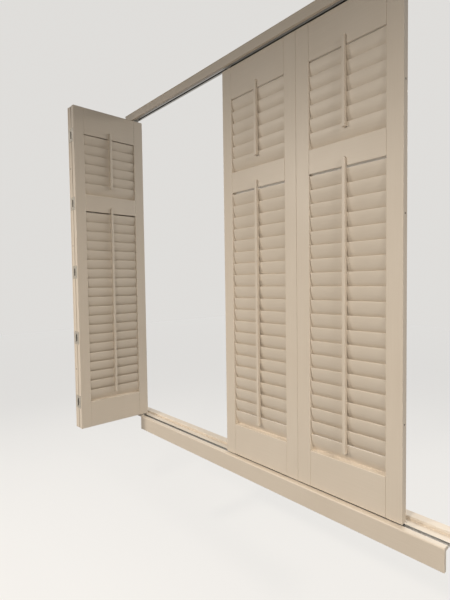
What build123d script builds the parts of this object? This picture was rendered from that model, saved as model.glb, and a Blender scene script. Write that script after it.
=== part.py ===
# Folding louvred shutters with their head track and sill guide, in millimetres.
#
# Four panels hang in two hinged pairs. The left pair is folded flat and stands
# out from the track, the right pair is closed and lies in line with it.
# Panels are numbered from the left as they stand when all are closed.
#
# X runs along the track, -Y is the room side, Z is up. The origin is the middle
# of the top face that is fixed overhead, straight above the panels' mid-plane.
import os
from math import asin, cos, pi, radians, sin, sqrt

from build123d import *

# Layout along the track
end_margin = 11  # left end of the frame to the closed left panel
run_on = 145  # closed right panel to the right end of the frame
panel_gap = 4  # between neighbouring closed panels

# Panels
panel_width = 443
panel_height = 1850
panel_thickness = 30
stile_width = 60.5
top_rail = 150
middle_rail = 96
bottom_rail = 148
upper_opening = 342
lower_opening = panel_height - top_rail - middle_rail - bottom_rail - upper_opening
edge_chamfer = 1.5
tenon_length = 40
tenon_thickness = 10
tenon_shoulder = 15  # rail edge to tenon edge

# Louvres
louvre_chord = 63.5
louvre_thickness = 11
lower_louvre_count = 20
upper_louvre_count = 6
nose_radius = 1.8
blunt_nose_width = 2.4  # of the fixed louvres, which have flat faces
closed_angle = 16  # from upright, upper edge towards the room
louvre_end_gap = 1.5
lower_louvre_margin = 37.35  # outermost louvre axis to the rail
upper_louvre_margin = 34.25
louvre_pin_radius = 2.5
louvre_pin_depth = 10
louvre_pin_clearance = 0.06
louvre_pin_sides = 4
louvre_socket_sides = 6

# Tilt rods
rod_width = 13
rod_depth = 15
rod_edge_chamfer = 2.5
rod_clearance = 0.3  # rod back to louvre nose
rod_above = 39  # rod top over the highest louvre nose
upper_rod_below = 17  # rod foot under the lowest louvre nose
lower_rod_below = 31
notch_side_gap = 2
notch_top_gap = 4
notch_back_gap = 1.3
notch_arch_sides = 12  # of the whole round that the arch is cut from

# Folding hardware
pivot_inset = 28  # pivot and hanger pins from the panel's end
fold_gap = 8  # between the backs of a folded pair
lowest_hinge = 154  # over the panel's foot
highest_hinge = 163  # under the panel's top
hinge_shares = [0, 0.245, 0.493, 0.749, 1]  # of the run between those two
hinge_leaf_width = 22
hinge_leaf_height = 70
hinge_leaf_thickness = 1.6
knuckle_radius = 3.5
knuckle_height = 20  # of one leaf's half
knuckle_sides = 6
turned_corner = 8  # degrees of round at the one turned corner of a flat-sided bar
pin_radius = 4
pin_clearance = 0.05
pin_end_gap = 0.3
pin_plate_length = 46
pin_plate_width = 18
pin_plate_thickness = 3

# Head
batten_width = 42
batten_height = 14
track_width = 30
track_height = 26
track_wall = 2
track_slot = 10
head_clearance = 13  # track to panel top
fascia_thickness = 14
fascia_height = 44
fascia_bead = 2.5
guide_side_gap = 0.3
guide_seat_gap = 0.3
top_guide_height = 8
bracket_length = 40

# Sill
foot_clearance = 6  # panel foot to sill board
sill_front = 21  # sill board's front edge from the panels' mid-plane
sill_depth = 106
sill_thickness = 12
channel_width = 19
channel_wall = 1.5
channel_height = 9
bottom_guide_height = 6
nosing_start = 109  # from the frame's left end
nosing_thickness = 14
nosing_height = 80
nosing_radius = 5
rear_board_front = 45
rear_board_height = 12
rear_board_radius = 6

# Fixing holes through the head
fixing_radius = 2.75
fixing_spacing = 800
fixing_count = 3

# Derived lengths, heights and places
frame_length = end_margin + 4 * panel_width + 3 * panel_gap + run_on
half_thickness = panel_thickness / 2
frame_left = -frame_length / 2
track_bottom = -batten_height - track_height
panel_top = track_bottom - head_clearance
panel_bottom = panel_top - panel_height
sill_top = panel_bottom - foot_clearance
hinge_axis_y = half_thickness + fold_gap / 2
opening_width = panel_width - 2 * stile_width
louvre_length = opening_width - 2 * louvre_end_gap
nose_reach = louvre_chord / 2 - nose_radius
nose_y = -nose_reach * sin(radians(closed_angle))
nose_z = nose_reach * cos(radians(closed_angle))
rod_back = nose_y - nose_radius - rod_clearance
middle_rail_bottom = bottom_rail + lower_opening
middle_rail_top = middle_rail_bottom + middle_rail
top_rail_bottom = panel_height - top_rail
hinge_run = panel_height - highest_hinge - lowest_hinge
hinge_heights = [lowest_hinge + share * hinge_run for share in hinge_shares]


def louvre_heights(foot, height, margin, count):
    """Axis heights of the louvres, evenly spaced in one opening, lowest first."""
    pitch = (height - 2 * margin) / (count - 1)
    return [foot + margin + index * pitch for index in range(count)]


lower_louvres = louvre_heights(
    bottom_rail, lower_opening, lower_louvre_margin, lower_louvre_count
)
upper_louvres = louvre_heights(
    middle_rail_top, upper_opening, upper_louvre_margin, upper_louvre_count
)

# Each opening: its name, its louvre heights, and how far its rod reaches down
sections = [
    ("lower", lower_louvres, lower_rod_below),
    ("upper", upper_louvres, upper_rod_below),
]

# One plane for each panel: origin at its left foot in the panel's mid-plane,
# x across the panel, y towards its back
left_pivot_x = frame_left + end_margin + pivot_inset
panel_3_x = frame_left + end_margin + 2 * (panel_width + panel_gap)
panel_4_x = panel_3_x + panel_width + panel_gap
panel_planes = {
    "panel_1": Plane(
        origin=(left_pivot_x, pivot_inset, panel_bottom),
        x_dir=(0, -1, 0),
        z_dir=(0, 0, 1),
    ),
    "panel_2": Plane(
        origin=(left_pivot_x + 2 * hinge_axis_y, pivot_inset - panel_width, panel_bottom),
        x_dir=(0, 1, 0),
        z_dir=(0, 0, 1),
    ),
    "panel_3": Plane(origin=(panel_3_x, 0, panel_bottom)),
    "panel_4": Plane(origin=(panel_4_x, 0, panel_bottom)),
}


def across(panel, distance=0):
    """Plane square to a panel's width, normal to its right."""
    return Plane(panel_planes[panel].location * Plane.YZ.offset(distance).location)


def facing(panel, distance=0):
    """Plane along a panel, normal to its front."""
    return Plane(panel_planes[panel].location * Plane.XZ.offset(distance).location)


def level(panel, height=0):
    """Level plane at a height above a panel's foot."""
    return Plane(panel_planes[panel].location * Plane.XY.offset(height).location)


def save(piece, name):
    piece.part.label = name
    export_step(piece.part, f"parts/{name}.step")


def turned_bar(radius, sides):
    """Section of a flat-sided bar with one corner turned round."""
    half_corner = turned_corner / 2
    turns = [half_corner, *[360 * side / sides for side in range(1, sides)], -half_corner]
    corners = [(radius * cos(radians(turn)), radius * sin(radians(turn))) for turn in turns]
    with BuildSketch() as section:
        with BuildLine():
            Polyline(*corners)
            ThreePointArc(corners[-1], (radius, 0), corners[0])
        make_face()
    return section.sketch


os.makedirs("parts", exist_ok=True)
louvre_pin = turned_bar(louvre_pin_radius, louvre_pin_sides)
knuckle = turned_bar(knuckle_radius, knuckle_sides)


# Louvre sections, upright about their pin axis
half_blade = louvre_thickness / 2
face_radius = (nose_reach**2 + half_blade**2 - nose_radius**2) / (
    2 * (half_blade - nose_radius)
)


def lens_section():
    """Faces as arcs tangent to the noses, each nose cut in three flats."""
    lean = asin(nose_reach / (face_radius - nose_radius))
    turns = [lean + step * (pi - 2 * lean) / 3 for step in range(4)]
    side = nose_radius * cos(lean)
    end = nose_reach + nose_radius * sin(lean)
    with BuildSketch() as section:
        with BuildLine():
            ThreePointArc((side, -end), (half_blade, 0), (side, end))
            ThreePointArc((-side, -end), (-half_blade, 0), (-side, end))
            for way in (-1, 1):
                Polyline(
                    *[
                        (
                            nose_radius * cos(turn),
                            way * (nose_reach + nose_radius * sin(turn)),
                        )
                        for turn in turns
                    ]
                )
        make_face()
    return section.sketch


def flat_section():
    """The same blade with three flats to a face and blunt noses."""
    shoulder = louvre_chord / 6
    depth = half_blade - face_radius + sqrt(face_radius**2 - shoulder**2)
    nose = (blunt_nose_width / 2, louvre_chord / 2)
    with BuildSketch() as section:
        Polygon(
            (nose[0], nose[1]),
            (-nose[0], nose[1]),
            (-depth, shoulder),
            (-depth, -shoulder),
            (-nose[0], -nose[1]),
            (nose[0], -nose[1]),
            (depth, -shoulder),
            (depth, shoulder),
            align=None,
        )
    return section.sketch


free_blade = lens_section()
fixed_blade = flat_section()


# Panel woodwork
def cut_rod_notches(panel):
    """Arched recesses for the closed rods in the rail over each opening."""
    depth = half_thickness + rod_back + notch_back_gap
    radius = rod_width / 2 + notch_side_gap
    for (name, heights, below), rail_edge in zip(
        sections, (middle_rail_bottom, top_rail_bottom)
    ):
        top = heights[-1] + nose_z + rod_above + notch_top_gap
        with BuildSketch(facing(panel, half_thickness)) as notch:
            with Locations((panel_width / 2, top - radius)):
                RegularPolygon(radius, notch_arch_sides, major_radius=False)
            with Locations((panel_width / 2, rail_edge)):
                Rectangle(
                    2 * radius, top - radius - rail_edge, align=(Align.CENTER, Align.MIN)
                )
        extrude(notch.sketch, amount=-depth, mode=Mode.SUBTRACT)


def louvred_panel(panel):
    """A whole panel with its louvres held shut in the stiles."""
    with BuildPart() as woodwork:
        with BuildSketch(facing(panel)):
            Rectangle(panel_width, panel_height, align=(Align.MIN, Align.MIN))
        extrude(amount=half_thickness, both=True)
        chamfer(woodwork.edges().filter_by(Axis.Z), edge_chamfer)
        with BuildSketch(facing(panel)):
            for foot, height in (
                (bottom_rail, lower_opening),
                (middle_rail_top, upper_opening),
            ):
                with Locations((stile_width, foot)):
                    Rectangle(opening_width, height, align=(Align.MIN, Align.MIN))
        extrude(amount=half_thickness, both=True, mode=Mode.SUBTRACT)
        cut_rod_notches(panel)
        with BuildSketch(across(panel, stile_width)):
            for name, heights, below in sections:
                with Locations(*[(0, height) for height in heights]):
                    add(fixed_blade, rotation=closed_angle)
        extrude(amount=opening_width)
    return woodwork


fixed_panels = ("panel_1", "panel_2", "panel_3")
for panel in fixed_panels:
    save(louvred_panel(panel), panel)

# The fourth panel, with every louvre free to turn
rails = {
    "bottom": (0, bottom_rail),
    "middle": (middle_rail_bottom, middle_rail),
    "top": (top_rail_bottom, top_rail),
}

for name, (foot, height) in rails.items():
    with BuildPart() as rail:
        with BuildSketch(facing("panel_4")):
            with Locations((stile_width, foot)):
                Rectangle(opening_width, height, align=(Align.MIN, Align.MIN))
        extrude(amount=half_thickness, both=True)
        if name != "bottom":
            cut_rod_notches("panel_4")
        with BuildSketch(facing("panel_4")):
            with Locations((panel_width / 2, foot + height / 2)):
                Rectangle(opening_width + 2 * tenon_length, height - 2 * tenon_shoulder)
        extrude(amount=tenon_thickness / 2, both=True)
    save(rail, f"panel_4_{name}_rail")

for side, left_edge, inner_face, inward in (
    ("left", 0, stile_width, 1),
    ("right", panel_width - stile_width, panel_width - stile_width, -1),
):
    with BuildPart() as stile:
        with BuildSketch(facing("panel_4")):
            with Locations((left_edge, 0)):
                Rectangle(stile_width, panel_height, align=(Align.MIN, Align.MIN))
        extrude(amount=half_thickness, both=True)
        outer_edges = stile.edges().filter_by(Axis.Z).sort_by(Axis.X)
        chamfer(outer_edges[:2] if side == "left" else outer_edges[-2:], edge_chamfer)
        with BuildSketch(across("panel_4", inner_face)):
            for foot, height in rails.values():
                with Locations((0, foot + height / 2)):
                    Rectangle(tenon_thickness, height - 2 * tenon_shoulder)
        extrude(amount=-inward * tenon_length, mode=Mode.SUBTRACT)
        # The sockets' flats clear the pins' corners as they turn
        with BuildSketch(across("panel_4", inner_face)):
            for name, heights, below in sections:
                with Locations(*[(0, height) for height in heights]):
                    RegularPolygon(
                        louvre_pin_radius + louvre_pin_clearance,
                        louvre_socket_sides,
                        major_radius=False,
                    )
        extrude(
            amount=-inward * (louvre_pin_depth + louvre_pin_clearance), mode=Mode.SUBTRACT
        )
    save(stile, f"panel_4_{side}_stile")

for section, heights, below in sections:
    for number, height in enumerate(heights, start=1):
        with BuildPart() as louvre:
            with BuildSketch(across("panel_4", stile_width + louvre_end_gap)):
                with Locations((0, height)):
                    add(free_blade, rotation=closed_angle)
            extrude(amount=louvre_length)
            with BuildSketch(across("panel_4", stile_width - louvre_pin_depth)):
                with Locations((0, height)):
                    add(louvre_pin)
            extrude(amount=opening_width + 2 * louvre_pin_depth)
        save(louvre, f"{section}_louvre_{number:02d}")


# Tilt rods
def draw_rod(panel, heights, below):
    """One rod in front of the closed louvres' noses."""
    foot = heights[0] + nose_z - below
    top = heights[-1] + nose_z + rod_above
    with BuildSketch(level(panel, foot)) as outline:
        with Locations((panel_width / 2, rod_back - rod_depth / 2)):
            Rectangle(rod_width, rod_depth)
        chamfer(outline.vertices().group_by(Axis.Y)[0], rod_edge_chamfer)
    extrude(outline.sketch, amount=top - foot)


for panel in fixed_panels:
    with BuildPart() as rods:
        for section, heights, below in sections:
            draw_rod(panel, heights, below)
    save(rods, f"{panel}_tilt_rods")

for section, heights, below in sections:
    with BuildPart() as rod:
        draw_rod("panel_4", heights, below)
    save(rod, f"{section}_tilt_rod")


# Hinges: two leaves on the stile edges, knuckles behind the panels' backs
def hinge_leaves(panel, edge, outward, upper):
    """The leaves that one panel carries, each with its half of the knuckle."""
    knuckle_foot = 0 if upper else -knuckle_height
    with BuildPart() as leaves:
        with BuildSketch(across(panel, edge)):
            with Locations(*[(half_thickness, height) for height in hinge_heights]):
                Rectangle(
                    hinge_leaf_width, hinge_leaf_height, align=(Align.MAX, Align.CENTER)
                )
                with Locations((0, knuckle_foot)):
                    Rectangle(fold_gap / 2, knuckle_height, align=(Align.MIN, Align.MIN))
        extrude(amount=outward * hinge_leaf_thickness)
        for height in hinge_heights:
            with BuildSketch(level(panel, height + knuckle_foot)):
                with Locations((edge + outward * panel_gap / 2, hinge_axis_y)):
                    add(knuckle)
            extrude(amount=knuckle_height)
    return leaves


for panel in ("panel_1", "panel_3"):
    save(hinge_leaves(panel, panel_width, 1, upper=False), f"{panel}_hinge_leaves")
for panel in ("panel_2", "panel_4"):
    save(hinge_leaves(panel, 0, -1, upper=True), f"{panel}_hinge_leaves")

# Pins on plates over and under each panel's outer end. At the pivots they stand in
# brackets, at the guides they carry round heads that run in the track and channel.
bracket_top = -batten_height - track_wall
bracket_foot = track_bottom + track_wall
channel_floor = sill_top - channel_height + channel_wall
socket_top = bracket_top - track_wall
socket_floor = channel_floor + channel_wall / 2
bracket_width = track_width - 2 * track_wall
shoe_width = channel_width - 2 * channel_wall

pin_places = {
    "left_pivot_pins": ("panel_1", pivot_inset),
    "left_guides": ("panel_2", panel_width - pivot_inset),
    "right_guides": ("panel_3", pivot_inset),
    "right_pivot_pins": ("panel_4", panel_width - pivot_inset),
}


def draw_pin(panel, inset, face, way, end):
    """A plate on the panel's end and a pin from it to a height."""
    with BuildSketch(level(panel, face)) as plate:
        with Locations((inset, 0)):
            Rectangle(pin_plate_length, pin_plate_width)
    extrude(plate.sketch, amount=way * pin_plate_thickness)
    with BuildSketch(level(panel, face)) as pin:
        with Locations((inset, 0)):
            Circle(pin_radius)
    extrude(pin.sketch, amount=end - panel_bottom - face)


def draw_head(panel, inset, foot, height, width):
    """A round guide head between two channel walls."""
    with BuildSketch(level(panel, foot - panel_bottom)) as head:
        with Locations((inset, 0)):
            Circle(width / 2 - guide_side_gap)
    extrude(head.sketch, amount=height)


for name, (panel, inset) in pin_places.items():
    with BuildPart() as pins:
        if "pivot" in name:
            draw_pin(panel, inset, panel_height, 1, socket_top - pin_end_gap)
            draw_pin(panel, inset, 0, -1, socket_floor + pin_end_gap)
        else:
            top_foot = bracket_foot + guide_seat_gap
            bottom_foot = channel_floor + guide_seat_gap
            draw_pin(panel, inset, panel_height, 1, top_foot)
            draw_head(panel, inset, top_foot, top_guide_height, bracket_width)
            draw_pin(panel, inset, 0, -1, bottom_foot + bottom_guide_height)
            draw_head(panel, inset, bottom_foot, bottom_guide_height, shoe_width)
    save(pins, name)

right_pivot_x = panel_4_x + panel_width - pivot_inset

for side, pivot_x in (("left", left_pivot_x), ("right", right_pivot_x)):
    with BuildPart() as brackets:
        for width, foot, top, opens_at, end in (
            (bracket_width, bracket_foot, bracket_top, bracket_foot, socket_top),
            (shoe_width, channel_floor, sill_top, sill_top, socket_floor),
        ):
            with BuildSketch(Plane.XY.offset(foot)):
                with Locations((pivot_x, 0)):
                    Rectangle(bracket_length, width)
            extrude(amount=top - foot)
            with BuildSketch(Plane.XY.offset(opens_at)):
                with Locations((pivot_x, 0)):
                    Circle(pin_radius + pin_clearance)
            extrude(amount=end - opens_at, mode=Mode.SUBTRACT)
    save(brackets, f"{side}_pivot_brackets")


# Head: batten against the ceiling, track under it, fascia in front
def drill_fixings(top, depth):
    """The row of fixing holes, down from a level face."""
    with BuildSketch(Plane.XY.offset(top)) as holes:
        with GridLocations(fixing_spacing, 1, fixing_count, 1):
            Circle(fixing_radius)
    extrude(holes.sketch, amount=-depth, mode=Mode.SUBTRACT)


left_end = Plane.YZ.offset(frame_left)

with BuildPart() as head_batten:
    with BuildSketch(left_end):
        Rectangle(batten_width, batten_height, align=(Align.CENTER, Align.MAX))
    extrude(amount=frame_length)
    drill_fixings(0, batten_height)
save(head_batten, "head_batten")

with BuildPart() as head_track:
    with BuildSketch(left_end):
        with Locations((0, -batten_height)):
            Rectangle(track_width, track_height, align=(Align.CENTER, Align.MAX))
        with Locations((0, bracket_top)):
            Rectangle(
                bracket_width,
                bracket_top - bracket_foot,
                align=(Align.CENTER, Align.MAX),
                mode=Mode.SUBTRACT,
            )
        with Locations((0, bracket_foot)):
            Rectangle(
                track_slot,
                track_wall,
                align=(Align.CENTER, Align.MAX),
                mode=Mode.SUBTRACT,
            )
    extrude(amount=frame_length)
    drill_fixings(-batten_height, track_wall)
save(head_track, "head_track")

fascia_back = -batten_width / 2
with BuildPart() as head_fascia:
    with BuildSketch(left_end):
        with Locations((fascia_back, 0)):
            Rectangle(fascia_thickness, fascia_height, align=(Align.MAX, Align.MAX))
        with Locations((fascia_back - fascia_thickness, -fascia_bead)):
            Circle(fascia_bead)
    extrude(amount=frame_length)
save(head_fascia, "head_fascia")

# Sill: a thin board that holds the guide channel, a nosing and a raised rear board
with BuildPart() as guide_channel:
    with BuildSketch(left_end):
        with Locations((0, sill_top)):
            Rectangle(channel_width, channel_height, align=(Align.CENTER, Align.MAX))
            Rectangle(
                shoe_width,
                channel_height - channel_wall,
                align=(Align.CENTER, Align.MAX),
                mode=Mode.SUBTRACT,
            )
    extrude(amount=frame_length)
save(guide_channel, "guide_channel")

with BuildPart() as sill_board:
    with BuildSketch(left_end):
        with Locations((-sill_front, sill_top)):
            Rectangle(sill_depth, sill_thickness, align=(Align.MIN, Align.MAX))
        with Locations((0, sill_top)):
            Rectangle(
                channel_width,
                channel_height,
                align=(Align.CENTER, Align.MAX),
                mode=Mode.SUBTRACT,
            )
    extrude(amount=frame_length)
save(sill_board, "sill_board")

with BuildPart() as rear_board:
    with BuildSketch(left_end) as rear_profile:
        with Locations((rear_board_front, sill_top)):
            Rectangle(
                sill_depth - sill_front - rear_board_front,
                rear_board_height,
                align=(Align.MIN, Align.MIN),
            )
        fillet(
            rear_profile.vertices().group_by(Axis.Y)[0].group_by(Axis.Z)[-1],
            rear_board_radius,
        )
    extrude(amount=frame_length)
save(rear_board, "sill_rear_board")

with BuildPart() as nosing:
    with BuildSketch(left_end.offset(nosing_start)) as nosing_profile:
        with Locations((-sill_front, sill_top)):
            Rectangle(nosing_thickness, nosing_height, align=(Align.MAX, Align.MAX))
        fillet(
            nosing_profile.vertices().group_by(Axis.Y)[0].group_by(Axis.Z)[-1],
            nosing_radius,
        )
    extrude(amount=frame_length - nosing_start)
save(nosing, "sill_nosing")
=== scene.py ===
from math import asin, atan2, cos, pi, radians, sin, tan

import bmesh
import bpy
from mathutils import Matrix, Vector


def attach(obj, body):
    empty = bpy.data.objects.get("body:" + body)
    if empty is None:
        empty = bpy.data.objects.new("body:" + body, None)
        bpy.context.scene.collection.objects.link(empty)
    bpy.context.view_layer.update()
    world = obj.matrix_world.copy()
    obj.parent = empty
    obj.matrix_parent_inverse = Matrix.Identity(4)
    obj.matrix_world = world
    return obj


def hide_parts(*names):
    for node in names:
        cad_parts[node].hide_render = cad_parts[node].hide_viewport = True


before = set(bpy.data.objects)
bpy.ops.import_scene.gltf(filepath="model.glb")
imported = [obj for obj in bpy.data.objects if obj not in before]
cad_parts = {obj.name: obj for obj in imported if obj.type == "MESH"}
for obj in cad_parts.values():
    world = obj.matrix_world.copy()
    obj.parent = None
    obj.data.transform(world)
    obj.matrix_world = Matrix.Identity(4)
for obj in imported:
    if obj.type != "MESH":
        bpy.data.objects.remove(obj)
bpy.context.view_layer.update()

# Sizes in metres, the same as the source's. A rail is (foot, height).
FRAME_LEFT, FRAME_RIGHT = -0.97, 0.97
PANEL_WIDTH, PANEL_HEIGHT, HALF_THICKNESS = 0.443, 1.85, 0.015
STILE_WIDTH = 0.0605
OPENING_WIDTH = PANEL_WIDTH - 2 * STILE_WIDTH
PANEL_BOTTOM = -1.903
SILL_TOP = -1.909
RAILS = {"bottom": (0.0, 0.148), "middle": (1.262, 0.096), "top": (1.7, 0.15)}
# Each section's louvre axes, by their height over the panel's foot
LOUVRE_PITCH = 0.0547
SECTIONS = {
    section: [lowest + LOUVRE_PITCH * index for index in range(count)]
    for section, lowest, count in (("lower", 0.18535, 20), ("upper", 1.39225, 6))
}

# Louvres
BLADE_HALF, NOSE_REACH, NOSE_RADIUS = 0.0055, 0.02995, 0.0018
CLOSED_ANGLE = radians(16)
END_GAP, BLADE_END_EDGE = 0.0015, 0.0007
LOUVRE_PIN_RADIUS, LOUVRE_PIN_DEPTH, SOCKET_PLAY = 0.0025, 0.01, 0.00006
PIN_IN_BLADE, PIN_END_EDGE, PIN_SIDES = 0.002, 0.0004, 20
NOSE_Y = -NOSE_REACH * sin(CLOSED_ANGLE)
NOSE_Z = NOSE_REACH * cos(CLOSED_ANGLE)

# Rods
ROD_WIDTH, ROD_DEPTH = 0.013, 0.015
ROD_FRONT_EDGE, ROD_BACK_EDGE = 0.0028, 0.0013
ROD_CLEARANCE = 0.0003
ROD_BACK = NOSE_Y - NOSE_RADIUS - ROD_CLEARANCE
ROD_ABOVE = 0.039
ROD_BELOW = {"lower": 0.031, "upper": 0.017}
# Notch in the rail over a rod's top
NOTCH_RADIUS, NOTCH_OVER, NOTCH_BEHIND = 0.0085, 0.004, 0.0013
NOTCH_PAST, NOTCH_STEPS = 0.01, 24

# Hinges
LOWEST_HINGE, HINGE_SPAN = 0.154, 1.533
HINGE_HEIGHTS = [LOWEST_HINGE + share * HINGE_SPAN for share in (0, 0.245, 0.493, 0.749, 1)]
LEAF_WIDTH, LEAF_HALF_HEIGHT, LEAF_THICKNESS = 0.022, 0.035, 0.0016
KNUCKLE_RADIUS, KNUCKLE_HEIGHT = 0.0035, 0.02
HINGE_AXIS_Y, HALF_GAP = 0.019, 0.002
TENSION_SCREW_HEIGHTS = [0.344, 1.062, 1.502]

# Edges that turn by less than this are shaded smooth
SMOOTH_BELOW = radians(40)


def panel_place(x, y, turn):
    """Place of a panel: its own x runs across it, y to its back and z up from its foot."""
    return Matrix.Translation((x, y, PANEL_BOTTOM)) @ Matrix.Rotation(turn, 4, "Z")


PANELS = {
    "panel_1": panel_place(-0.931, 0.028, -pi / 2),
    "panel_2": panel_place(-0.893, -0.415, pi / 2),
    "panel_3": panel_place(-0.065, 0, 0),
    "panel_4": panel_place(0.382, 0, 0),
}

# Camera, fitted to the panels' edges in the photo. The focal length is in the photo's pixels.
CAMERA_SPOT = (1.47184, -1.39641, -1.06422)
CAMERA_YAW, CAMERA_PITCH, CAMERA_ROLL = 0.839066, -0.041864, -0.013853
FOCAL_PIXELS, PICTURE_HEIGHT, SENSOR_SIZE = 420.066, 600, 36


def place_camera():
    yaw, pitch, roll = CAMERA_YAW, CAMERA_PITCH, CAMERA_ROLL
    level_forward = Vector((-sin(yaw), cos(yaw), 0))
    level_right = Vector((cos(yaw), sin(yaw), 0))
    world_up = Vector((0, 0, 1))
    forward = level_forward * cos(pitch) + world_up * sin(pitch)
    tilted_up = world_up * cos(pitch) - level_forward * sin(pitch)
    right = level_right * cos(roll) + tilted_up * sin(roll)
    up = tilted_up * cos(roll) - level_right * sin(roll)
    data = bpy.data.cameras.new("camera")
    data.sensor_width = SENSOR_SIZE
    data.lens = FOCAL_PIXELS * SENSOR_SIZE / PICTURE_HEIGHT
    camera = bpy.data.objects.new("camera", data)
    bpy.context.scene.collection.objects.link(camera)
    turn = Matrix((right, up, -forward)).transposed().to_4x4()
    camera.matrix_world = Matrix.Translation(CAMERA_SPOT) @ turn
    bpy.context.scene.camera = camera


place_camera()
bpy.context.scene.view_settings.view_transform = "Standard"


# Materials. Noise lies mostly between these two values, which get the two ends of a range.
NOISE_LOW, NOISE_HIGH = 0.3, 0.7
# The Mix node's sockets for two colours, and for the colour that it gives
MIX_FIRST, MIX_SECOND, MIX_RESULT = 6, 7, 2

PAINT_LIGHT, PAINT_DARK = (0.785, 0.708, 0.61), (0.755, 0.676, 0.577)
PAINT_ROUGHNESS, PAINT_SMOOTHEST, PAINT_ROUGHEST = 0.42, 0.38, 0.46
GRAIN_SHADE = (0.975, 0.972, 0.965)
GRAIN_HEIGHT, PEEL_HEIGHT = 0.00009, 0.00003
BRUSHING_HEIGHT, PORE_HEIGHT = 0.00004, 0.00005
METAL_SMOOTHER, METAL_ROUGHER = 0.07, 0.12
PLASTIC_ROUGHNESS = 0.5


def new_material(name, roughness, metallic):
    material = bpy.data.materials.new(name)
    material.use_nodes = True
    tree = material.node_tree
    shader = tree.nodes["Principled BSDF"]
    shader.inputs["Roughness"].default_value = roughness
    shader.inputs["Metallic"].default_value = metallic
    place = tree.nodes.new("ShaderNodeTexCoord")
    return material, tree, shader, place.outputs["Object"]


def stretched_noise(tree, place, stretch, detail, name):
    """Noise over coordinates scaled by stretch, in features to a metre."""
    scale = tree.nodes.new("ShaderNodeMapping")
    scale.inputs["Scale"].default_value = stretch
    noise = tree.nodes.new("ShaderNodeTexNoise")
    noise.label = name
    noise.inputs["Scale"].default_value = 1
    noise.inputs["Detail"].default_value = detail
    tree.links.new(place, scale.inputs["Vector"])
    tree.links.new(scale.outputs["Vector"], noise.inputs["Vector"])
    return noise.outputs["Fac"]


def spread(tree, value, low, high):
    """Maps the middle of a noise to the range from low to high."""
    mapped = tree.nodes.new("ShaderNodeMapRange")
    mapped.inputs["From Min"].default_value = NOISE_LOW
    mapped.inputs["From Max"].default_value = NOISE_HIGH
    mapped.inputs["To Min"].default_value = low
    mapped.inputs["To Max"].default_value = high
    tree.links.new(value, mapped.inputs["Value"])
    return mapped.outputs["Result"]


def between(tree, value, first, second):
    """Colour between two colours as a noise goes from low to high."""
    ramp = tree.nodes.new("ShaderNodeValToRGB")
    ends = zip(ramp.color_ramp.elements, (NOISE_LOW, NOISE_HIGH), (first, second))
    for element, position, colour in ends:
        element.position = position
        element.color = (*colour, 1)
    tree.links.new(value, ramp.inputs["Fac"])
    return ramp.outputs["Color"]


def multiply(tree, first, second):
    mixed = tree.nodes.new("ShaderNodeMix")
    mixed.data_type = "RGBA"
    mixed.blend_type = "MULTIPLY"
    mixed.inputs["Factor"].default_value = 1
    tree.links.new(first, mixed.inputs[MIX_FIRST])
    tree.links.new(second, mixed.inputs[MIX_SECOND])
    return mixed.outputs[MIX_RESULT]


def raise_by(tree, height, distance, under=None):
    """Bump of a height in metres, over another where one is given."""
    bump = tree.nodes.new("ShaderNodeBump")
    bump.inputs["Distance"].default_value = distance
    tree.links.new(height, bump.inputs["Height"])
    if under:
        tree.links.new(under, bump.inputs["Normal"])
    return bump.outputs["Normal"]


def painted(name, grain):
    """Satin paint over wood, its grain along the axis with the small number."""
    material, tree, shader, place = new_material(name, PAINT_ROUGHNESS, 0)
    clouds = stretched_noise(tree, place, (5, 5, 3), 2, "clouds")
    streaks = stretched_noise(tree, place, grain, 4, "grain")
    peel = stretched_noise(tree, place, (620, 620, 620), 1, "paint texture")
    colour = between(tree, clouds, PAINT_DARK, PAINT_LIGHT)
    colour = multiply(tree, colour, between(tree, streaks, GRAIN_SHADE, (1, 1, 1)))
    tree.links.new(colour, shader.inputs["Base Color"])
    rough = spread(tree, streaks, PAINT_SMOOTHEST, PAINT_ROUGHEST)
    tree.links.new(rough, shader.inputs["Roughness"])
    wood = raise_by(tree, streaks, GRAIN_HEIGHT)
    tree.links.new(raise_by(tree, peel, PEEL_HEIGHT, wood), shader.inputs["Normal"])
    return material


def worked_metal(name, light, dark, roughness, lines):
    """Metal with fine lines along the axis with the small number, and dull patches."""
    material, tree, shader, place = new_material(name, roughness, 1)
    patches = stretched_noise(tree, place, (130, 130, 130), 5, "patches")
    brushing = stretched_noise(tree, place, lines, 2, "brushing")
    tree.links.new(between(tree, patches, dark, light), shader.inputs["Base Color"])
    rough = spread(tree, patches, roughness - METAL_SMOOTHER, roughness + METAL_ROUGHER)
    tree.links.new(rough, shader.inputs["Roughness"])
    tree.links.new(raise_by(tree, brushing, BRUSHING_HEIGHT), shader.inputs["Normal"])
    return material


def moulded_plastic(name, light, dark):
    material, tree, shader, place = new_material(name, PLASTIC_ROUGHNESS, 0)
    clouds = stretched_noise(tree, place, (90, 90, 90), 3, "clouds")
    pores = stretched_noise(tree, place, (1500, 1500, 1500), 1, "texture")
    tree.links.new(between(tree, clouds, dark, light), shader.inputs["Base Color"])
    tree.links.new(raise_by(tree, pores, PORE_HEIGHT), shader.inputs["Normal"])
    return material


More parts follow.
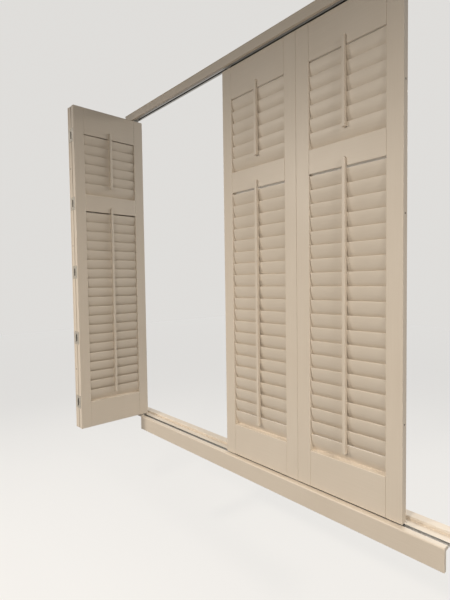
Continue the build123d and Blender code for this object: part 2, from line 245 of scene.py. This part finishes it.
paint_upright = painted("paint_upright", (190, 190, 5))
paint_across = painted("paint_across", (5, 190, 190))
hinge_steel = worked_metal(
    "hinge_steel", (0.66, 0.61, 0.53), (0.55, 0.505, 0.435), 0.4, (900, 900, 60)
)
# Dark steel for the knuckles, webs and tension screws; on the thin plates round the hinge leaves
# it is painted shadow
dark_steel_and_shadow = worked_metal(
    "dark_steel_and_shadow", (0.11, 0.097, 0.08), (0.065, 0.057, 0.047), 0.5, (900, 900, 60)
)
zinc_steel = worked_metal(
    "zinc_steel", (0.62, 0.62, 0.59), (0.48, 0.48, 0.47), 0.42, (700, 700, 60)
)
screw_steel = worked_metal(
    "screw_steel", (0.36, 0.34, 0.3), (0.27, 0.25, 0.22), 0.42, (900, 900, 900)
)
track_aluminium = worked_metal(
    "track_aluminium", (0.44, 0.43, 0.41), (0.38, 0.37, 0.355), 0.46, (8, 2400, 2400)
)
nylon = moulded_plastic("nylon", (0.8, 0.8, 0.76), (0.74, 0.74, 0.7))
pin_brass = worked_metal(
    "pin_brass", (0.6, 0.58, 0.52), (0.46, 0.44, 0.4), 0.36, (90, 900, 900)
)


# Mesh building: a part is (points, faces, material number). A sharp corner moves in along
# its mitre, but by no more than the inset divided by this.
MITRE_LIMIT = 0.3


def rounded(corners, steps=5):
    """Counterclockwise outline from (x, y, radius) corners."""
    outline = []
    for number, (x, y, radius) in enumerate(corners):
        here = Vector((x, y))
        if not radius:
            outline.append((x, y))
            continue
        before = (Vector(corners[number - 1][:2]) - here).normalized()
        after = (Vector(corners[(number + 1) % len(corners)][:2]) - here).normalized()
        half = before.angle(after) / 2
        centre = here + (before + after).normalized() * radius / sin(half)
        first = here + before * radius / tan(half) - centre
        last = here + after * radius / tan(half) - centre
        start = atan2(first.y, first.x)
        turn = (atan2(last.y, last.x) - start + pi) % (2 * pi) - pi
        for step in range(steps + 1):
            angle = start + turn * step / steps
            outline.append((centre.x + radius * cos(angle), centre.y + radius * sin(angle)))
    return outline


def rectangle(x0, x1, y0, y1, radii, steps=5):
    """Outline of a rectangle, its corner radii given from (x0, y0) counterclockwise."""
    places = ((x0, y0), (x1, y0), (x1, y1), (x0, y1))
    return rounded([(x, y, radius) for (x, y), radius in zip(places, radii)], steps)


def circle(x, y, radius, steps):
    turns = [2 * pi * step / steps for step in range(steps)]
    return [(x + radius * cos(turn), y + radius * sin(turn)) for turn in turns]


def inward_normals(outline):
    normals = []
    for number, point in enumerate(outline):
        here = Vector(point)
        before = (here - Vector(outline[number - 1])).normalized()
        after = (Vector(outline[(number + 1) % len(outline)]) - here).normalized()
        first = Vector((-before.y, before.x))
        both = first + Vector((-after.y, after.x))
        normals.append(both / max(both.dot(first), MITRE_LIMIT))
    return normals


AXES = {
    "x": lambda a, b, s: (s, a, b),
    "y": lambda a, b, s: (a, s, b),
    "z": lambda a, b, s: (a, b, s),
}


def bar(outline, axis, start, end, ease=0.0, rings=3, slot=0):
    """Closed bar along an axis, its end edges rounded by ease.

    The outline's outer corners need a radius of at least ease, or none."""
    if ease:
        turns = [pi / 2 * step / rings for step in range(rings + 1)]
        eased = [(ease * (1 - cos(turn)), ease * (1 - sin(turn))) for turn in turns]
    else:
        eased = [(0, 0)]
    sections = [(start + depth, inset) for depth, inset in eased]
    sections += [(end - depth, inset) for depth, inset in reversed(eased)]
    normals = inward_normals(outline)
    points = [
        AXES[axis](a + n.x * inset, b + n.y * inset, along)
        for along, inset in sections
        for (a, b), n in zip(outline, normals)
    ]
    count = len(outline)
    faces = [
        (
            ring * count + side,
            ring * count + (side + 1) % count,
            (ring + 1) * count + (side + 1) % count,
            (ring + 1) * count + side,
        )
        for ring in range(len(sections) - 1)
        for side in range(count)
    ]
    faces.append(tuple(range(count - 1, -1, -1)))
    faces.append(tuple(range(len(points) - count, len(points))))
    return points, faces, slot


def moved(part, matrix):
    points, faces, slot = part
    return [tuple(matrix @ Vector(point)) for point in points], faces, slot


def mesh_of(name, parts, materials):
    work = bmesh.new()
    for points, faces, slot in parts:
        corners = [work.verts.new(point) for point in points]
        for face in faces:
            made = work.faces.new([corners[number] for number in face])
            made.material_index = slot
            made.smooth = True
    bmesh.ops.recalc_face_normals(work, faces=work.faces)
    for edge in work.edges:
        edge.smooth = edge.calc_face_angle(0) < SMOOTH_BELOW
    mesh = bpy.data.meshes.new(name)
    work.to_mesh(mesh)
    work.free()
    for material in materials:
        mesh.materials.append(material)
    return mesh


def carved(part, cutters, operation="DIFFERENCE"):
    """A part with closed cutters taken out of it, or joined to it."""
    body = bpy.data.objects.new("carved", mesh_of("carved", [part], []))
    tool = bpy.data.objects.new("cutter", mesh_of("cutter", cutters, []))
    for made in (body, tool):
        bpy.context.scene.collection.objects.link(made)
    modifier = body.modifiers.new("carve", "BOOLEAN")
    modifier.operation = operation
    modifier.solver = "EXACT"
    modifier.object = tool
    graph = bpy.context.evaluated_depsgraph_get()
    result = bpy.data.meshes.new_from_object(body.evaluated_get(graph))
    points = [tuple(vertex.co) for vertex in result.vertices]
    faces = [tuple(face.vertices) for face in result.polygons]
    for made in (body, tool):
        bpy.data.objects.remove(made)
    return points, faces, part[2]


def add_piece(name, mesh, body, nodes=(), place=None):
    """Puts a mesh in the scene as a piece that rides on a body."""
    made = bpy.data.objects.new(name, mesh)
    bpy.context.scene.collection.objects.link(made)
    if place:
        made.matrix_world = place
    modifier = made.modifiers.new("normals", "WEIGHTED_NORMAL")
    modifier.keep_sharp = True
    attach(made, body)
    if nodes:
        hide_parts(*nodes)
    return made


# Louvre blade about its own pin axis, upright, its length along x from 0
def blade_outline():
    face_radius = (NOSE_REACH**2 + BLADE_HALF**2 - NOSE_RADIUS**2) / (
        2 * (BLADE_HALF - NOSE_RADIUS)
    )
    lean = asin(NOSE_REACH / (face_radius - NOSE_RADIUS))
    arcs = (
        (BLADE_HALF - face_radius, 0, face_radius, -lean, lean, 12),
        (0, NOSE_REACH, NOSE_RADIUS, lean, pi - lean, 8),
        (face_radius - BLADE_HALF, 0, face_radius, pi - lean, pi + lean, 12),
        (0, -NOSE_REACH, NOSE_RADIUS, pi + lean, 2 * pi - lean, 8),
    )
    outline = []
    for x, y, radius, start, end, steps in arcs:
        for step in range(steps):
            turn = start + (end - start) * step / steps
            outline.append((x + radius * cos(turn), y + radius * sin(turn)))
    return outline


def louvre_parts():
    """Blade and its two pins."""
    blade = bar(blade_outline(), "x", END_GAP, OPENING_WIDTH - END_GAP, BLADE_END_EDGE)
    pin = circle(0, 0, LOUVRE_PIN_RADIUS, PIN_SIDES)
    inside = END_GAP + PIN_IN_BLADE
    spans = (
        (-LOUVRE_PIN_DEPTH, inside),
        (OPENING_WIDTH - END_GAP - PIN_IN_BLADE, OPENING_WIDTH + LOUVRE_PIN_DEPTH),
    )
    return [blade] + [bar(pin, "x", start, end, PIN_END_EDGE, 2, 1) for start, end in spans]


def louvre_place(height):
    return Matrix.Translation((STILE_WIDTH, 0, height)) @ Matrix.Rotation(CLOSED_ANGLE, 4, "X")


# Woodwork: rounds of the edges, then the lip on a stile, then the tenons
STILE_EDGE, JOINT_EDGE, RAIL_EDGE, OUTER_EDGE = 0.0021, 0.0022, 0.0026, 0.0023
BAR_END_EDGE = 0.0012
LIP_REACH, LIP_THICKNESS, LIP_EDGE, LIP_CORNER = 0.0033, 0.004, 0.0013, 0.0002
TENON_LENGTH, TENON_HALF, TENON_SHOULDER = 0.04, 0.005, 0.015
# How far a cutter starts outside the face it cuts
CUT_PAST = 0.001
# Lips on the rails behind the lowest louvres' feet, by how far they stand up
LIGHT_STOPS = {"bottom": 0.006, "middle": 0.003}
LIGHT_STOP_FRONT, LIGHT_STOP_INSET, LIGHT_STOP_ROOT = 0.0095, 0.0006, 0.01
LIGHT_STOP_EDGES = (0, 0, 0.001, 0.0006)
LIGHT_STOP_END_GAP = 0.0001
SQUARE = (0, 0, 0, 0)


def tenon_outline(foot, height):
    low, high = foot + TENON_SHOULDER, foot + height - TENON_SHOULDER
    return rectangle(-TENON_HALF, TENON_HALF, low, high, SQUARE)


def stile(side, sockets, lip):
    """Stile, with a lip in front of the gap beside a hinged panel where lip is set."""
    front = -HALF_THICKNESS
    corners = [
        (0, front, STILE_EDGE),
        (STILE_WIDTH, front, JOINT_EDGE),
        (STILE_WIDTH, HALF_THICKNESS, JOINT_EDGE),
        (0, HALF_THICKNESS, STILE_EDGE),
    ]
    if lip:
        corners[0] = (-LIP_REACH, front, LIP_EDGE)
        corners.append((0, front + LIP_THICKNESS, LIP_CORNER))
        corners.append((-LIP_REACH, front + LIP_THICKNESS, LIP_EDGE))
    inner, inward = STILE_WIDTH, 1
    if side == "right":
        corners = [(PANEL_WIDTH - x, y, radius) for x, y, radius in reversed(corners)]
        inner, inward = PANEL_WIDTH - STILE_WIDTH, -1
    part = bar(rounded(corners), "z", 0, PANEL_HEIGHT, BAR_END_EDGE)
    if not sockets:
        return part
    near = inner + inward * CUT_PAST
    socket = sorted((near, inner - inward * (LOUVRE_PIN_DEPTH + SOCKET_PLAY)))
    mortise = sorted((near, inner - inward * TENON_LENGTH))
    hole = LOUVRE_PIN_RADIUS + SOCKET_PLAY
    cutters = [
        bar(circle(0, height, hole, PIN_SIDES), "x", *socket)
        for heights in SECTIONS.values()
        for height in heights
    ]
    cutters += [bar(tenon_outline(*rail_span), "x", *mortise) for rail_span in RAILS.values()]
    return carved(part, cutters)


def rail(name, tenons):
    """Rail with its light stop, its notch for a rod, and its tenons where they are asked for."""
    foot, height = RAILS[name]
    low = OUTER_EDGE if name == "bottom" else RAIL_EDGE
    high = OUTER_EDGE if name == "top" else RAIL_EDGE
    outline = rectangle(
        -HALF_THICKNESS, HALF_THICKNESS, foot, foot + height, (low, low, high, high)
    )
    start, end = STILE_WIDTH, STILE_WIDTH + OPENING_WIDTH
    part = bar(outline, "x", start, end, JOINT_EDGE, slot=1)
    if name in LIGHT_STOPS:
        stop = rectangle(
            LIGHT_STOP_FRONT,
            HALF_THICKNESS - LIGHT_STOP_INSET,
            foot + height - LIGHT_STOP_ROOT,
            foot + height + LIGHT_STOPS[name],
            LIGHT_STOP_EDGES,
        )
        lip = bar(stop, "x", start + LIGHT_STOP_END_GAP, end - LIGHT_STOP_END_GAP, slot=1)
        part = carved(part, [lip], "UNION")
    if name != "bottom":
        under = "lower" if name == "middle" else "upper"
        top = SECTIONS[under][-1] + NOSE_Z + ROD_ABOVE + NOTCH_OVER
        middle, radius = PANEL_WIDTH / 2, NOTCH_RADIUS
        arch = [(middle - radius, foot - NOTCH_PAST), (middle + radius, foot - NOTCH_PAST)]
        for step in range(NOTCH_STEPS + 1):
            turn = pi * step / NOTCH_STEPS
            arch.append((middle + radius * cos(turn), top - radius + radius * sin(turn)))
        cutter = bar(arch, "y", -HALF_THICKNESS - NOTCH_PAST, ROD_BACK + NOTCH_BEHIND)
        part = carved(part, [cutter])
    if tenons:
        right_end = PANEL_WIDTH - STILE_WIDTH + TENON_LENGTH
        tenon = bar(tenon_outline(foot, height), "x", STILE_WIDTH - TENON_LENGTH, right_end)
        part = carved(part, [tenon], "UNION")
    return part


def rod_part(section):
    heights = SECTIONS[section]
    middle = PANEL_WIDTH / 2
    outline = rectangle(
        middle - ROD_WIDTH / 2,
        middle + ROD_WIDTH / 2,
        ROD_BACK - ROD_DEPTH,
        ROD_BACK,
        (ROD_FRONT_EDGE, ROD_FRONT_EDGE, ROD_BACK_EDGE, ROD_BACK_EDGE),
    )
    foot = heights[0] + NOSE_Z - ROD_BELOW[section]
    return bar(outline, "z", foot, heights[-1] + NOSE_Z + ROD_ABOVE, BAR_END_EDGE)


woods = [paint_upright, paint_across]
louvre_mesh = mesh_of("louvre", louvre_parts(), [paint_across, pin_brass])
rails = [rail(name, False) for name in RAILS]
# The fixed panels' wood, without and with the lip on the right stile
woodwork = {
    lip: mesh_of(
        "woodwork", [stile("left", False, False), stile("right", False, lip)] + rails, woods
    )
    for lip in (False, True)
}
louvres = mesh_of(
    "louvres",
    [
        moved(part, louvre_place(height))
        for heights in SECTIONS.values()
        for height in heights
        for part in louvre_parts()
    ],
    [paint_across, pin_brass],
)
rods = mesh_of("rods", [rod_part(section) for section in SECTIONS], [paint_upright])

for panel in ("panel_1", "panel_2", "panel_3"):
    place = PANELS[panel]
    wood_mesh = woodwork[panel == "panel_1"]
    add_piece(f"{panel}_woodwork", wood_mesh, panel, [panel], place)
    add_piece(f"{panel}_louvres", louvres, panel, [panel], place)
    add_piece(f"{panel}_rods", rods, panel, [f"{panel}_tilt_rods"], place)

place = PANELS["panel_4"]
for side in ("left", "right"):
    mesh = mesh_of(f"{side}_stile", [stile(side, True, side == "left")], woods)
    node = f"panel_4_{side}_stile"
    add_piece(f"{node}_wood", mesh, "panel_4", [node], place)
for name in RAILS:
    mesh = mesh_of(f"{name}_rail", [rail(name, True)], woods)
    node = f"panel_4_{name}_rail"
    add_piece(f"{node}_wood", mesh, "panel_4", [node], place)
for section, heights in SECTIONS.items():
    for number, height in enumerate(heights, start=1):
        node = f"{section}_louvre_{number:02d}"
        hung = place @ louvre_place(height)
        add_piece(f"{node}_blade", louvre_mesh, node, [node], hung)
    node = f"{section}_tilt_rod"
    mesh = mesh_of(f"{section}_rod", [rod_part(section)], [paint_upright])
    add_piece(f"{node}_bar", mesh, node, [node], place)


# Screws: a countersunk head nearly flush with the face it holds, its cross recess cut in
HEAD_DEPTH, HEAD_EDGE, HEAD_SIDES = 0.0014, 0.0004, 24
RECESS_DEPTH, RECESS_REACH, RECESS_HALF_WIDTH = 0.0006, 0.62, 0.14


def screw_part(radius, rise, slot):
    """Screw head along z, its top at rise over the face."""
    outline = circle(0, 0, radius, HEAD_SIDES)
    head = bar(outline, "z", -HEAD_DEPTH, rise, min(rise, HEAD_EDGE), 2, slot)
    long, short = radius * RECESS_REACH, radius * RECESS_HALF_WIDTH
    quarter = [(long, -short), (long, short), (short, short)]
    plus = []
    for _ in range(4):
        plus += quarter
        quarter = [(-y, x) for x, y in quarter]
    return carved(head, [bar(plus, "z", rise - RECESS_DEPTH, rise + CUT_PAST)])


leaf_screw = screw_part(0.0032, 0.00035, 2)
tension_screw = screw_part(0.0036, 0.0004, 0)

# A leaf's screws: across it in thirds of its width, and up from its middle
LEAF_SCREWS = ((-0.4, -0.024), (0.35, 0), (-0.4, 0.024))
LEAF_OUTER_ROUND, LEAF_INNER_ROUND, SHADOW_PLATE_OUTER_ROUND = 0.0025, 0.0008, 0.003
LEAF_EDGE, WEB_EDGE, KNUCKLE_EDGE = 0.0003, 0.0002, 0.0005
# Painted shadow round a leaf: a thin dark plate on the wood, wider than the leaf, that stands in
# for the shade where the leaf sits in the wood
SHADOW_PLATE_SIDE, SHADOW_PLATE_ABOVE, SHADOW_PLATE_BACK, SHADOW_PLATE_HEIGHT = 0.0016, 0.0012, 0.0021, 0.00025
WEB_OVERLAP, WEB_GAP, KNUCKLE_GAP, KNUCKLE_SIDES = 0.002, 0.0002, 0.0001, 28


def hinge_parts(edge, outward, upper):
    """Leaves, half knuckles and screws that one panel carries."""
    parts = []
    face = Matrix.Rotation(outward * pi / 2, 4, "Y")
    for height in HINGE_HEIGHTS:
        leaf = rectangle(
            HALF_THICKNESS - LEAF_WIDTH,
            HALF_THICKNESS,
            height - LEAF_HALF_HEIGHT,
            height + LEAF_HALF_HEIGHT,
            (LEAF_OUTER_ROUND, LEAF_INNER_ROUND, LEAF_INNER_ROUND, LEAF_OUTER_ROUND),
        )
        ends = sorted((edge, edge + outward * LEAF_THICKNESS))
        parts.append(bar(leaf, "x", *ends, LEAF_EDGE, 2))
        # A thin dark plate round the leaf, in the dark steel: painted shadow, not a part of the
        # hinge
        shadow_plate = rectangle(
            HALF_THICKNESS - LEAF_WIDTH - SHADOW_PLATE_SIDE,
            HALF_THICKNESS - SHADOW_PLATE_BACK,
            height - LEAF_HALF_HEIGHT - SHADOW_PLATE_ABOVE,
            height + LEAF_HALF_HEIGHT + SHADOW_PLATE_ABOVE,
            (SHADOW_PLATE_OUTER_ROUND, LEAF_INNER_ROUND, LEAF_INNER_ROUND, SHADOW_PLATE_OUTER_ROUND),
        )
        parts.append(bar(shadow_plate, "x", *sorted((edge, edge + outward * SHADOW_PLATE_HEIGHT)), slot=1))
        foot = height if upper else height - KNUCKLE_HEIGHT
        top = foot + KNUCKLE_HEIGHT
        back = HALF_THICKNESS - WEB_OVERLAP
        web = rectangle(back, HINGE_AXIS_Y, foot + WEB_GAP, top - WEB_GAP, SQUARE)
        parts.append(bar(web, "x", *ends, WEB_EDGE, 2, 1))
        axis = circle(edge + outward * HALF_GAP, HINGE_AXIS_Y, KNUCKLE_RADIUS, KNUCKLE_SIDES)
        parts.append(bar(axis, "z", foot + KNUCKLE_GAP, top - KNUCKLE_GAP, KNUCKLE_EDGE, 2, 1))
        for side, rise in LEAF_SCREWS:
            across = HALF_THICKNESS - LEAF_WIDTH / 2 + side * LEAF_WIDTH / 3
            spot = Matrix.Translation((edge + outward * LEAF_THICKNESS, across, height + rise))
            parts.append(moved(leaf_screw, spot @ face))
    return parts


hinge_metals = [hinge_steel, dark_steel_and_shadow, screw_steel]
for panel, edge, outward, upper in (
    ("panel_1", PANEL_WIDTH, 1, False),
    ("panel_2", 0, -1, True),
    ("panel_3", PANEL_WIDTH, 1, False),
    ("panel_4", 0, -1, True),
):
    mesh = mesh_of(f"{panel}_hinge_mesh", hinge_parts(edge, outward, upper), hinge_metals)
    add_piece(
        f"{panel}_hinges", mesh, panel, [f"{panel}_hinge_leaves"], PANELS[panel]
    )
    spots = [
        Matrix.Translation((PANEL_WIDTH, 0, height)) @ Matrix.Rotation(pi / 2, 4, "Y")
        for height in TENSION_SCREW_HEIGHTS
    ]
    screws = [moved(tension_screw, spot) for spot in spots]
    mesh = mesh_of(f"{panel}_tension", screws, [dark_steel_and_shadow])
    add_piece(f"{panel}_tension_screws", mesh, panel, (), PANELS[panel])


# Head and sill boards: each a section as (y, z, radius) corners, the steps in a round, and
# where it starts along x
SILL_FRONT, SILL_BACK = -0.021, 0.085
NOSING_BOTTOM, NOSING_FRONT = SILL_TOP - 0.08, SILL_FRONT - 0.014
NOSING_START = FRAME_LEFT + 0.109
REAR_FRONT, REAR_TOP = 0.045, SILL_TOP + 0.012
FASCIA_BACK, FASCIA_FRONT, FASCIA_BOTTOM, BEAD_FRONT = -0.021, -0.035, -0.044, -0.0372
boards = {
    "head_fascia": (
        [
            (FASCIA_FRONT, FASCIA_BOTTOM, 0.0015),
            (FASCIA_BACK, FASCIA_BOTTOM, 0.001),
            (FASCIA_BACK, 0, 0),
            (-0.0345, 0, 0.001),
            (BEAD_FRONT, -0.0012, 0.0012),
            (BEAD_FRONT, -0.0038, 0.0012),
            (FASCIA_FRONT, -0.0052, 0.0004),
        ],
        5,
        FRAME_LEFT,
    ),
    "sill_nosing": (
        [
            (NOSING_FRONT, NOSING_BOTTOM, 0.0012),
            (SILL_FRONT, NOSING_BOTTOM, 0.001),
            (SILL_FRONT, SILL_TOP, 0),
            (NOSING_FRONT, SILL_TOP, 0.005),
        ],
        8,
        NOSING_START,
    ),
    "sill_rear_board": (
        [
            (REAR_FRONT, SILL_TOP, 0),
            (SILL_BACK, SILL_TOP, 0),
            (SILL_BACK, REAR_TOP, 0.001),
            (REAR_FRONT, REAR_TOP, 0.006),
        ],
        8,
        FRAME_LEFT,
    ),
}
BOARD_END_EDGE = 0.0008
for node, (corners, steps, start) in boards.items():
    part = bar(rounded(corners, steps), "x", start, FRAME_RIGHT, BOARD_END_EDGE)
    mesh = mesh_of(f"{node}_mesh", [part], [paint_across])
    add_piece(f"{node}_board", mesh, "frame", [node])

# CAD nodes that stay get their finish, and their sharp edges a fine round of a given width
WELD_DISTANCE, SHARP_ABOVE = 0.000001, radians(40)
kept = {
    "head_batten": (paint_across, 0.0005),
    "sill_board": (paint_across, 0.0004),
    "head_track": (track_aluminium, 0.0003),
    "guide_channel": (track_aluminium, 0.0003),
    "left_pivot_brackets": (zinc_steel, 0.0004),
    "right_pivot_brackets": (zinc_steel, 0.0004),
    "left_pivot_pins": (zinc_steel, 0.0003),
    "right_pivot_pins": (zinc_steel, 0.0003),
    "left_guides": (nylon, 0.0003),
    "right_guides": (nylon, 0.0003),
}
for node, (material, edge) in kept.items():
    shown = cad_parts[node]
    shown.data.materials.clear()
    shown.data.materials.append(material)
    weld = shown.modifiers.new("weld", "WELD")
    weld.merge_threshold = WELD_DISTANCE
    bevel = shown.modifiers.new("edges", "BEVEL")
    bevel.width = edge
    bevel.segments = 2
    bevel.limit_method = "ANGLE"
    bevel.angle_limit = SHARP_ABOVE
    bevel.harden_normals = True


# Floor, light and background. The floor lies as far under the panels as in the photo.
FLOOR_BELOW_PANELS, FLOOR_HALF = 0.821, 14
FLOOR_COLOUR, FLOOR_ROUGHNESS = (0.2, 0.197, 0.192, 1), 0.9
GLOW_COLOUR, GLOW_STRENGTH = (1, 0.985, 0.96, 1), 0.675
# The world's own light, and the colour it shows, which is the far floor's tone
WORLD_COLOUR, WORLD_STRENGTH = (1, 0.99, 0.97, 1), 0.07
BACKDROP_COLOUR = (0.74, 0.727, 0.706, 1)


def add_lamp(name, spot, target, size, power, colour):
    data = bpy.data.lights.new(name, "AREA")
    data.shape = "DISK"
    data.size = size
    data.energy = power
    data.color = colour
    lamp = bpy.data.objects.new(name, data)
    bpy.context.scene.collection.objects.link(lamp)
    lamp.location = spot
    lamp.rotation_euler = (Vector(target) - Vector(spot)).to_track_quat("-Z", "Y").to_euler()


def pale_surround(tree, lit, shown):
    """Shader that shows one brightness to the camera and in gloss, and lights with another."""
    path = tree.nodes.new("ShaderNodeLightPath")
    first = tree.nodes.new("ShaderNodeMath")
    first.operation = "MAXIMUM"
    second = tree.nodes.new("ShaderNodeMath")
    second.operation = "MAXIMUM"
    mixed = tree.nodes.new("ShaderNodeMixShader")
    tree.links.new(path.outputs["Is Camera Ray"], first.inputs[0])
    tree.links.new(path.outputs["Is Glossy Ray"], first.inputs[1])
    tree.links.new(first.outputs[0], second.inputs[0])
    tree.links.new(path.outputs["Is Transmission Ray"], second.inputs[1])
    tree.links.new(second.outputs[0], mixed.inputs[0])
    tree.links.new(lit, mixed.inputs[1])
    tree.links.new(shown, mixed.inputs[2])
    return mixed.outputs[0]


def set_world():
    world = bpy.data.worlds.new("studio")
    bpy.context.scene.world = world
    world.use_nodes = True
    tree = world.node_tree
    lit = tree.nodes["Background"]
    lit.inputs["Color"].default_value = WORLD_COLOUR
    lit.inputs["Strength"].default_value = WORLD_STRENGTH
    shown = tree.nodes.new("ShaderNodeBackground")
    shown.inputs["Color"].default_value = BACKDROP_COLOUR
    mixed = pale_surround(tree, lit.outputs[0], shown.outputs[0])
    tree.links.new(mixed, tree.nodes["World Output"].inputs["Surface"])


def lay_floor():
    half, floor_z = FLOOR_HALF, PANEL_BOTTOM - FLOOR_BELOW_PANELS
    places = ((-half, -half), (half, -half), (half, half), (-half, half))
    corners = [(x, y, floor_z) for x, y in places]
    material = bpy.data.materials.new("floor")
    material.use_nodes = True
    tree = material.node_tree
    shader = tree.nodes["Principled BSDF"]
    shader.inputs["Base Color"].default_value = FLOOR_COLOUR
    shader.inputs["Roughness"].default_value = FLOOR_ROUGHNESS
    glow = tree.nodes.new("ShaderNodeEmission")
    glow.inputs["Color"].default_value = GLOW_COLOUR
    glow.inputs["Strength"].default_value = GLOW_STRENGTH
    both = tree.nodes.new("ShaderNodeAddShader")
    tree.links.new(shader.outputs[0], both.inputs[0])
    tree.links.new(glow.outputs[0], both.inputs[1])
    mixed = pale_surround(tree, shader.outputs[0], both.outputs[0])
    tree.links.new(mixed, tree.nodes["Material Output"].inputs["Surface"])
    mesh = mesh_of("floor", [(corners, [(0, 1, 2, 3)], 0)], [material])
    floor = bpy.data.objects.new("floor", mesh)
    bpy.context.scene.collection.objects.link(floor)


set_world()
lay_floor()
# Lamps that point down from the head's height, so that the head is darker than the sill as in
# the photo: name, place, target, size, power in watts and colour. The key and the fill stand to
# the left and right of the front, the side lamp lights the folded pair.
WARM, SOFT = (1, 0.91, 0.8), (1, 0.96, 0.9)
for lamp_values in (
    ("key", (-1.25, -2.6, 0.1), (-1.2, -2.4, -2.7), 0.3, 68, WARM),
    ("fill", (0.82, -2.7, 0.1), (0.82, -2.5, -2.7), 0.3, 63, WARM),
    ("side", (3.1, -0.75, -0.05), (2.7, -0.75, -2.7), 0.5, 56, WARM),
    ("outer side", (-3.4, 0.3, -0.1), (-1.0, -0.1, -1.4), 1.4, 25, SOFT),
    ("back", (0.3, 2.6, 0.25), (0.3, 1.0, -2.2), 1.4, 44, SOFT),
):
    add_lamp(*lamp_values)
